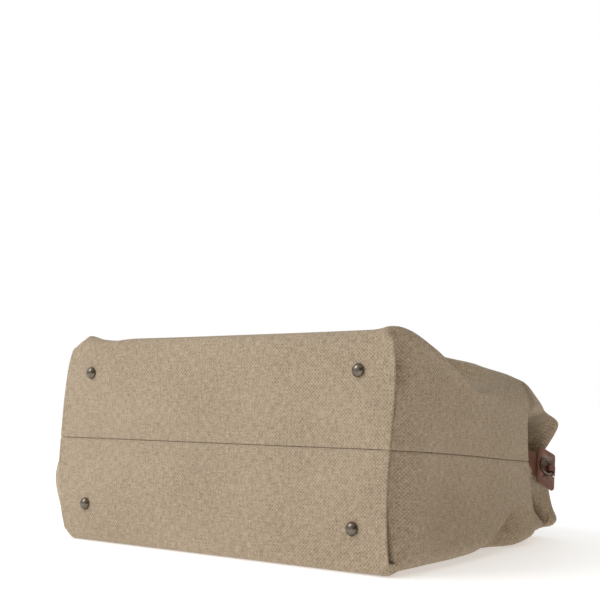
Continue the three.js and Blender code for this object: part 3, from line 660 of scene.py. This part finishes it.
# Vegetable-tanned cowhide, waxed: brown with a fine grain, paler and more orange where it rubs,
# half glossy. Its grain is drawn twice as coarse as real so that it shows.
leather, hide_tree, hide_shader = start_material("waxed_brown_cowhide", Specular_IOR_Level=0.5,
                                                 Coat_Weight=0.12, Coat_Roughness=0.35)
hide_place = add_node(hide_tree, "TexCoord").outputs["Object"]
pebbles = add_node(hide_tree, "TexVoronoi", {"Vector": hide_place, "Scale": 900.0})
stain = add_node(hide_tree, "TexNoise",
                 {"Vector": hide_place, "Scale": 120.0, "Detail": 4.0, "Roughness": 0.6})
wear = add_node(hide_tree, "TexNoise",
                {"Vector": hide_place, "Scale": 45.0, "Detail": 5.0, "Roughness": 0.7})
body_tone = add_node(hide_tree, "Mix", {"Factor": stain.outputs["Fac"], "A": colour("5A392C"),
                                        "B": colour("96695A")}, data_type="RGBA")
worn = add_node(hide_tree, "MapRange", {"Value": wear.outputs["Fac"], "From Min": 0.56, "From Max": 0.74})
worn_tone = add_node(hide_tree, "Mix", {"Factor": worn.outputs[0], "A": body_tone.outputs["Result"],
                                        "B": colour("B07A4E")}, data_type="RGBA")
hide_tree.links.new(worn_tone.outputs["Result"], hide_shader.inputs["Base Color"])
hide_gloss = add_node(hide_tree, "MapRange",
                      {"Value": stain.outputs["Fac"], "To Min": 0.42, "To Max": 0.3})
hide_tree.links.new(hide_gloss.outputs[0], hide_shader.inputs["Roughness"])
grain = add_node(hide_tree, "Math", {0: pebbles.outputs["Distance"], 1: stain.outputs["Fac"]},
                 operation="ADD")
hide_bump = add_node(hide_tree, "Bump",
                     {"Height": grain.outputs[0], "Strength": 0.5, "Distance": 0.25 * MM})
hide_tree.links.new(hide_bump.outputs[0], hide_shader.inputs["Normal"])

QUARTER = np.radians(np.linspace(0, 90, 8))
section_turn = np.concatenate([QUARTER + k * math.pi / 2 for k in range(4)])
section_x = np.repeat([1, -1, -1, 1], len(QUARTER))
section_y = np.repeat([1, 1, -1, -1], len(QUARTER))


def strap(path, across, width, thick, corner):
    """A rounded oblong section, width by thick, carried along a path that lies square to across.
    Each of the sizes is one number, or one for each point of the path."""
    path = np.asarray(path, float)
    width, thick, corner = (np.broadcast_to(size, len(path))[:, None] for size in (width, thick, corner))
    out = unit(np.cross(across, np.gradient(path, axis=0)))
    wide = section_x * (width / 2 - corner) + corner * np.cos(section_turn)
    high = section_y * (thick / 2 - corner) + corner * np.sin(section_turn)
    return path[:, None] + wide[:, :, None] * np.asarray(across, float) + high[:, :, None] * out[:, None]


def band(centre, across, width, inner, outer, rows=40):
    """A strap bent into a whole ring about a centre."""
    first = unit(np.cross(across, (0.3, 0.9, 0.2)))
    second = np.cross(across, first)
    turn = np.linspace(0, 2 * math.pi, rows)[:, None]
    spoke = np.cos(turn) * first + np.sin(turn) * second
    corner = (outer - inner) * 0.3
    wide = section_x * (width / 2 - corner) + corner * np.cos(section_turn)
    high = section_y * ((outer - inner) / 2 - corner) + corner * np.sin(section_turn)
    radius = (inner + outer) / 2 + high
    sideways = wide[None, :, None] * np.asarray(across, float)
    return np.array(centre) + sideways + radius[None, :, None] * spoke[:, None]


def rounded_width(distance, width, corner):
    """The width of a strap near a tip with rounded corners, at distances from the tip."""
    left = np.clip(corner - distance, 0, corner)
    return width - 2 * (corner - np.sqrt(corner**2 - left**2))


def add_leather(name, solids, body, replaces, rings=()):
    """A leather piece of straps, each closed at its ends, and of rings."""
    weld(add_piece(name, solids, body, leather, replaces=replaces, wrap=True,
                   caps=("first", "last")))
    if rings:
        weld(add_piece(f"{name}_fold", rings, body, leather, replaces=replaces, wrap=True))


RIVET_PROFILE = [(0, -0.6), (1.2, -0.6), (1.2, 0), (3.3, 0), (3.6, 0.2), (3.5, 0.6), (3.0, 1.1),
                 (2.0, 1.55), (1.0, 1.75), (0, 1.8)]
SPREAD = {"front": 54.0, "back": 72.0}
eyes = {}
for half, side in ((1, "front"), (-1, "back")):
    for hand, end in ((1, "right"), (-1, "left")):
        x = hand * SPREAD[side]
        tip_share = np.concatenate([[0, 0.01, 0.03, 0.06, 0.1], np.linspace(0.15, 1, 16)])
        centre_line = []
        for share in tip_share:
            place, along, out = panel_frame(half, x, 1 - CHAPE_TAIL / BAG_HEIGHT * (1 - share))
            centre_line.append(place + (CHAPE_LIFT + CHAPE_THICK / 2) * out)
        place, along, out = panel_frame(half, x, 1.0)
        eye = place + CHAPE_PAST_RIM * along + (CHAPE_LIFT + CHAPE_THICK / 2) * out
        eyes[side] = eye[1:]
        centre_line.append(eye - EYE_MIDDLE * along)
        lengths = tip_share * CHAPE_TAIL
        width = np.append(rounded_width(lengths, CHAPE_WIDTH, 4.0), CHAPE_WIDTH)
        tail = strap(centre_line, (1, 0, 0), width, CHAPE_THICK, 0.6)
        fold = band(eye, (1, 0, 0), CHAPE_WIDTH, EYE_INNER, EYE_OUTER)
        add_leather(f"{side}_chape_strap_{end}", [tail], "bag", [f"{side}_chape_{end}"], [fold])
        place, along, out = panel_frame(half, x, 1 - CHAPE_TAIL / BAG_HEIGHT / 2)
        seat = place + (CHAPE_LIFT + CHAPE_THICK) * out
        flat = 1.0 if half > 0 else 0.5
        dome = placed(lathe(RIVET_PROFILE) * (1, 1, flat), seat, axes_about(out, along))
        weld(add_piece(f"{side}_dome_rivet_{end}", [dome], "bag", aged_nickel,
                       replaces=[f"{side}_rivet_{end}"], wrap=True))

# ---------------------------------------------------------------- handles
# Two handles of the same cowhide, rolled round a cord and sewn along the inside, with flat ends
# folded round the other bar of each ring. The rings are bent from aged nickel wire.
RING_WIDTH, RING_HEIGHT, RING_WIRE, RING_CORNER = 32.0, 17.0, 1.7, 5.0
BAR_TO_BAR = RING_HEIGHT - 2 * RING_WIRE
HANDLE_RADIUS, HANDLE_END_Y, ROLL_START = 5.5, 94.5, 14.0
HANDLE_END_WIDTH, HANDLE_END_THICK, HANDLE_END_CORNER = 18.0, 3.0, 0.9
CLEAR = 0.35


def wire_loop(path, across, wire):
    """A round wire carried along a closed path that lies square to across."""
    path = np.asarray(path, float)
    out = unit(np.cross(across, np.roll(path, -1, 0) - np.roll(path, 1, 0)))
    turn = np.linspace(0, 2 * math.pi, 16, endpoint=False)[:, None]
    grid = path[:, None] + wire * (np.cos(turn) * np.asarray(across, float) + np.sin(turn) * out[:, None])
    return np.concatenate([grid, grid[:1]])


def catmull(points, steps):
    """A smooth path through points, by the Catmull-Rom formula on each span of four points."""
    points = np.asarray(points, float)
    ends = np.concatenate([[2 * points[0] - points[1]], points, [2 * points[-1] - points[-2]]])
    p0, p1, p2, p3 = (ends[i : len(ends) - 3 + i, None] for i in range(4))
    k = np.linspace(0, 1, steps, endpoint=False)[None, :, None]
    square, cube = 2 * p0 - 5 * p1 + 4 * p2 - p3, 3 * p1 - p0 - 3 * p2 + p3
    curve = 0.5 * (2 * p1 + (p2 - p0) * k + square * k**2 + cube * k**3)
    return np.concatenate([curve.reshape(-1, points.shape[1]), points[-1:]])


corner_turn = np.radians(np.linspace(0, 90, 9))
loop_x, loop_y = RING_WIDTH / 2 - RING_WIRE, RING_HEIGHT / 2 - RING_WIRE
bend = RING_CORNER - RING_WIRE
ring_path = np.concatenate([
    np.stack([sx * (loop_x - bend) + bend * np.cos(corner_turn + k * math.pi / 2),
              sy * (loop_y - bend) + bend * np.sin(corner_turn + k * math.pi / 2)], -1)
    for k, (sx, sy) in enumerate(((1, 1), (-1, 1), (-1, -1), (1, -1)))])
ring_path = np.column_stack([ring_path[:, 0], ring_path[:, 1] + loop_y, 0 * ring_path[:, 0]])

# Waxed linen thread, buff: each stitch is 3 mm of it, sunk a little into the leather.
thread_wax, thread_tree, thread_shader = start_material("waxed_linen_thread", Roughness=0.7)
twist_place = add_node(thread_tree, "TexCoord").outputs["Object"]
twist = add_node(thread_tree, "TexNoise", {"Vector": twist_place, "Scale": 1500.0})
thread_tone = add_node(thread_tree, "Mix", {"Factor": twist.outputs["Fac"], "A": colour("6E5540"),
                                            "B": colour("A88A6A")}, data_type="RGBA")
thread_tree.links.new(thread_tone.outputs["Result"], thread_shader.inputs["Base Color"])


def add_stitches(name, lines, body, length=2.6, gap=1.2, thread=0.35):
    """Stitches along lines of points: each is a short round bar, thick in the middle, whose ends
    dip to nothing."""
    share = np.array([0, 0.12, 0.35, 0.65, 0.88, 1.0])
    swell = np.array([0.1, 0.7, 1, 1, 0.7, 0.1])
    turn = np.linspace(0, 2 * math.pi, 6, endpoint=False)
    grids = []
    for line in lines:
        line = np.asarray(line, float)
        far = np.concatenate([[0], np.cumsum(np.linalg.norm(np.diff(line, axis=0), axis=1))])
        starts = np.arange(gap / 2, far[-1] - length, length + gap)
        at = starts[:, None] + share * length
        middle = np.stack([np.interp(at, far, line[:, k]) for k in range(3)], -1)
        ahead = unit(middle[:, -1:] - middle[:, :1])
        side = unit(np.cross(ahead, (0.31, 0.52, 0.79)))
        up = np.cross(ahead, side)
        ring_shape = np.cos(turn)[:, None] * side[:, :, None] + np.sin(turn)[:, None] * up[:, :, None]
        grids.extend(middle[:, :, None] + thread * swell[:, None, None] * ring_shape)
    weld(add_piece(name, grids, body, thread_wax, wrap=True, caps=("first", "last")))


for half, side in ((1, "front"), (-1, "back")):
    body = f"{side}_handle"
    spread = SPREAD[side]
    hang = math.asin((eyes[side][1] - HANDLE_RADIUS - CLEAR) / (BAR_TO_BAR + HANDLE_END_Y))
    axes = [(1, 0, 0), (0, math.cos(hang), -math.sin(hang)), (0, math.sin(hang), math.cos(hang))]
    hinge = (0, *eyes[side])
    for hand, end in ((1, "right"), (-1, "left")):
        wire = wire_loop(ring_path + (hand * spread, 0, 0), (0, 0, 1), RING_WIRE)
        weld(add_piece(f"{side}_wire_ring_{end}", [placed(wire, hinge, axes)], body, aged_nickel,
                       replaces=[f"{side}_ring_{end}"], wrap=True))
    leg = HANDLE_END_Y - spread * 0.85
    knots = np.array([(spread, EYE_MIDDLE), (spread, ROLL_START), (spread, (ROLL_START + leg) / 2),
                      (spread - 1, leg), (spread * 0.8, (leg + HANDLE_END_Y) / 2 + 9),
                      (spread * 0.45, HANDLE_END_Y - 3), (0, HANDLE_END_Y)])
    knots = np.concatenate([knots, knots[-2::-1] * (-1, 1)])
    path = catmull(knots, 16)
    path = np.column_stack([path[:, 0], path[:, 1] + BAR_TO_BAR, 0 * path[:, 0]])
    far = np.concatenate([[0], np.cumsum(np.linalg.norm(np.diff(path, axis=0), axis=1))])
    from_end = np.minimum(far, far[-1] - far)
    roll = rise(from_end, 8, 30)
    width = HANDLE_END_WIDTH + (2 * HANDLE_RADIUS - HANDLE_END_WIDTH) * roll
    thick = HANDLE_END_THICK + (2 * HANDLE_RADIUS - HANDLE_END_THICK) * roll
    corner = HANDLE_END_CORNER + (HANDLE_RADIUS - HANDLE_END_CORNER) * roll**1.5
    rolled = strap(path, (0, 0, 1), thick, width, corner)
    folds = []
    for hand in (1, -1):
        fold = band((hand * spread, BAR_TO_BAR, 0), (1, 0, 0), HANDLE_END_WIDTH, EYE_INNER, EYE_OUTER)
        folds.append(placed(fold, hinge, axes))
    add_leather(f"{side}_handle_rolled", [placed(rolled, hinge, axes)], body, [f"{side}_handle"], folds)
    inner = from_end > 12
    out = np.cross((0, 0, 1), unit(np.gradient(path, axis=0)))
    beside, above = 0.82 * (width[:, None] / 2 + 0.05), 0.3 * thick[:, None]
    seam_line = path - out * beside + np.array([0, 0, 1]) * above
    add_stitches(f"{side}_handle_stitching", [placed(seam_line[inner], hinge, axes)], body)

# ---------------------------------------------------------------- end tabs
# At each end of the mouth a notched plate of two layers of cowhide lies over a narrower tongue.
# A keeper, riveted in the notch, holds a round ring of aged nickel for a shoulder strap.
TAB_MIDDLE = (205.0, 279.0, 71.0)
tab_axes = axes_about((0.93, -0.2, 0.31), (0.3, 0.84, -0.44))
PLATE_LENGTH, PLATE_WIDTH, PLATE_THICK, PLATE_CORNER = 25.0, 41.0, 2.4, 3.0
NOTCH_DEPTH, NOTCH_HALF = 12.5, 5.2
TONGUE_WIDTH, TONGUE_THICK = 26.0, 2.0
TAB_RING_RADIUS, TAB_RING_WIRE, TAB_RING_X = 7.5, 1.5, 4.8
KEEPER_WIDTH, KEEPER_INNER, KEEPER_OUTER, KEEPER_THICK, KEEPER_TAIL = 6.5, 2.9, 4.0, 1.2, 9.0
TAB_RING_HEIGHT = PLATE_THICK + TAB_RING_WIRE + CLEAR


def plate_outline(grow):
    """The plate's outline grown by a distance: an oblong with rounded corners and a square notch
    in the side towards the rim, with every corner and edge drawn as several points."""
    length, width = PLATE_LENGTH / 2 + grow, PLATE_WIDTH / 2 + grow
    corner, notch = PLATE_CORNER + grow, NOTCH_HALF - grow
    turn = np.radians(np.linspace(0, 90, 7))

    def arc(x, y, start):
        """A quarter circle about x and y, from the angle start."""
        return np.stack([x + corner * np.cos(turn + start), y + corner * np.sin(turn + start)], -1)

    quarter = math.pi / 2
    small = 0.5
    deep = length - NOTCH_DEPTH - 2 * grow
    notch_points = [(length, -notch - small), (length - small, -notch), (deep + small, -notch),
                    (deep, -notch + small), (deep, notch - small), (deep + small, notch),
                    (length - small, notch), (length, notch + small)]
    return np.concatenate([arc(length - corner, corner - width, -quarter), notch_points,
                           arc(length - corner, width - corner, 0),
                           arc(corner - length, width - corner, quarter),
                           arc(corner - length, corner - width, 2 * quarter)])


def slab(outline, low, high, edge):
    """A flat piece between two heights whose edges are burnished round: rows of the outline, each
    (how far in, height)."""
    rows = [(edge, low), (edge * 0.3, low + edge * 0.3), (0, low + edge), (0, high - edge),
            (edge * 0.3, high - edge * 0.3), (edge, high)]
    return np.stack([np.column_stack([outline(-away), np.full(len(outline(0.0)), h)])
                     for away, h in rows])


def tab_strap(path, width, thick, corner=0.5):
    """A strap of the tab from (x, z) pairs of its middle line."""
    path = np.array(path, float)
    line = np.column_stack([path[:, 0], 0 * path[:, 0], path[:, 1]])
    return strap(line, (0, 1, 0), width, thick, corner)


under = -CLEAR - TONGUE_THICK / 2
anchor = (np.array([191.0, 250.0, 77.0]) - TAB_MIDDLE) @ tab_axes.T
tongue_line = catmull([(12.5, under), (4, under), (-6, under), (-12.5, under - 0.3),
                       ((anchor[0] - 12.5) / 2, anchor[2] / 2 - 1.5), (anchor[0], anchor[2])], 8)
keeper_low = TAB_RING_HEIGHT - KEEPER_OUTER + 0.1 + KEEPER_THICK / 2
keeper_line = [(x, keeper_low) for x in np.linspace(TAB_RING_X - 0.5, TAB_RING_X + KEEPER_TAIL, 8)]
tab_parts = {
    "plate": [slab(plate_outline, 1.25, PLATE_THICK, 0.4),
              slab(lambda grow: plate_outline(grow + 0.35), 0.0, 1.2, 0.4)],
    "tongue": [tab_strap(tongue_line, TONGUE_WIDTH, TONGUE_THICK)],
    "keeper": [tab_strap(keeper_line, KEEPER_WIDTH, KEEPER_THICK, 0.3)],
}
keeper_ring = band((TAB_RING_X, 0, TAB_RING_HEIGHT), (0, 1, 0), KEEPER_WIDTH, KEEPER_INNER, KEEPER_OUTER)
small_rivet = (2.5 / 3.6, 2.5 / 3.6, 1.6 / 1.8)
stud = lathe(RIVET_PROFILE) * small_rivet + (TAB_RING_X + 6, 0, keeper_low + KEEPER_THICK / 2)
turn = np.linspace(0, 2 * math.pi, 64, endpoint=False)
ring_line = np.stack([TAB_RING_X - TAB_RING_RADIUS * (1 - np.cos(turn)), TAB_RING_RADIUS * np.sin(turn),
                      np.full_like(turn, TAB_RING_HEIGHT)], -1)
tab_ring = wire_loop(ring_line, (0, 0, 1), TAB_RING_WIRE)
for hand, end in ((1, "right"), (-1, "left")):
    mirror = (hand, 1, 1)
    for part, solids in tab_parts.items():
        rings = [placed(keeper_ring, TAB_MIDDLE, tab_axes) * mirror] if part == "keeper" else ()
        parts = [placed(grid, TAB_MIDDLE, tab_axes) * mirror for grid in solids]
        add_leather(f"tab_{part}_{end}", parts, "bag", [f"end_{part}_{end}"], rings)
    for name, grid, body in (("rivet", stud, "bag"), ("ring", tab_ring, f"{end}_ring")):
        weld(add_piece(f"tab_{name}_{end}", [placed(grid, TAB_MIDDLE, tab_axes) * mirror], body,
                       aged_nickel, replaces=[f"end_{name}_{end}"], wrap=True))

# ---------------------------------------------------------------- floor, light and camera
# A pale seamless studio floor and one large soft light from the upper left. The surround is
# white to the left and in front, and falls away to grey on the right, so that end is in shade.
FLOOR_GLOW = 0.42  # the paper is lit from behind too, so it shows white right to the horizon
floor_mesh = bpy.data.meshes.new("studio_floor")
reach, level = 6.0, -0.0004
floor_corners = [(reach * a, reach * b, level) for a, b in ((-1, -1), (1, -1), (1, 1), (-1, 1))]
floor_mesh.from_pydata(floor_corners, [], [(0, 1, 2, 3)])
studio_floor = bpy.data.objects.new("studio_floor", floor_mesh)
bpy.context.scene.collection.objects.link(studio_floor)
floor_material, _, floor_shader = start_material("white_studio_paper", Roughness=0.6)
floor_shader.inputs["Base Color"].default_value = colour("F4F4F6")
floor_shader.inputs["Emission Color"].default_value = (1.0, 1.0, 1.0, 1.0)
floor_shader.inputs["Emission Strength"].default_value = FLOOR_GLOW
floor_mesh.materials.append(floor_material)

SHADE_START, SHADE_END = 0.0, 0.7
OPEN_SIDE, SHADE_SIDE = 0.78, 0.16
OVERHEAD_START, OVERHEAD_END = 0.35, 0.95  # straight overhead the light is open all round
world = bpy.data.worlds.new("studio")
world.use_nodes = True
world_tree = world.node_tree
around = add_node(world_tree, "TexCoord")
direction = add_node(world_tree, "SeparateXYZ", {0: around.outputs["Generated"]})
shade_side = add_node(world_tree, "MapRange",
                      {"Value": direction.outputs["X"], "From Min": SHADE_START, "From Max": SHADE_END,
                       "To Min": OPEN_SIDE, "To Max": SHADE_SIDE}, interpolation_type="SMOOTHSTEP")
overhead = add_node(world_tree, "MapRange",
                    {"Value": direction.outputs["Z"], "From Min": OVERHEAD_START,
                     "From Max": OVERHEAD_END, "To Min": 0.0, "To Max": OPEN_SIDE},
                    interpolation_type="SMOOTHSTEP")
sky = add_node(world_tree, "Math", {0: shade_side.outputs[0], 1: overhead.outputs[0]},
               operation="MAXIMUM")
seen = add_node(world_tree, "LightPath")
surround = add_node(world_tree, "Mix",
                    {"Factor": seen.outputs["Is Camera Ray"], "A": sky.outputs[0], "B": 1.0})
world_tree.links.new(surround.outputs[0], world_tree.nodes["Background"].inputs["Strength"])
tints = [add_node(world_tree, "MapRange",
                  {"Value": direction.outputs["X"], "From Min": SHADE_START, "From Max": SHADE_END,
                   "To Min": open_tint, "To Max": shade_tint})
         for open_tint, shade_tint in ((0.97, 1.0), (0.985, 0.86), (1.0, 0.62))]
tint = add_node(world_tree, "CombineColor", {i: made.outputs[0] for i, made in enumerate(tints)})
white_seen = add_node(world_tree, "Mix", {"Factor": seen.outputs["Is Camera Ray"], "A": tint.outputs[0],
                                          "B": (1.0, 1.0, 1.0, 1.0)}, data_type="RGBA")
world_tree.links.new(white_seen.outputs["Result"], world_tree.nodes["Background"].inputs["Color"])
bpy.context.scene.world = world
bpy.context.scene.view_settings.view_transform = "Standard"

CAMERA_PLACE = (696.7, -796.5, 155.6)
CAMERA_YAW = 0.64222
CAMERA_PITCH = 0.07626
CAMERA_LENS = 67.25


def point_at(item, place, ahead):
    """Puts an object at a place in the bag's millimetres, looking along ahead."""
    item.location = np.array(place) * MM + ORIGIN
    item.rotation_mode = "QUATERNION"
    item.rotation_quaternion = Vector(ahead).to_track_quat("-Z", "Y")


camera = bpy.data.objects.new("camera", bpy.data.cameras.new("camera"))
bpy.context.scene.collection.objects.link(camera)
camera.data.lens = CAMERA_LENS
camera.data.sensor_width = 36.0
point_at(camera, CAMERA_PLACE, (-math.sin(CAMERA_YAW) * math.cos(CAMERA_PITCH),
                                math.cos(CAMERA_YAW) * math.cos(CAMERA_PITCH), math.sin(CAMERA_PITCH)))
bpy.context.scene.camera = camera


def soft_light(name, place, target, size, power):
    """A square area light of a size in metres, at a place and aimed at a target in millimetres."""
    lamp = bpy.data.objects.new(name, bpy.data.lights.new(name, "AREA"))
    bpy.context.scene.collection.objects.link(lamp)
    lamp.data.size = size
    lamp.data.energy = power
    point_at(lamp, place, np.array(target, float) - np.array(place, float))


soft_light("key", (-900, -900, 1300), (0, 100, 90), 1.0, 12)
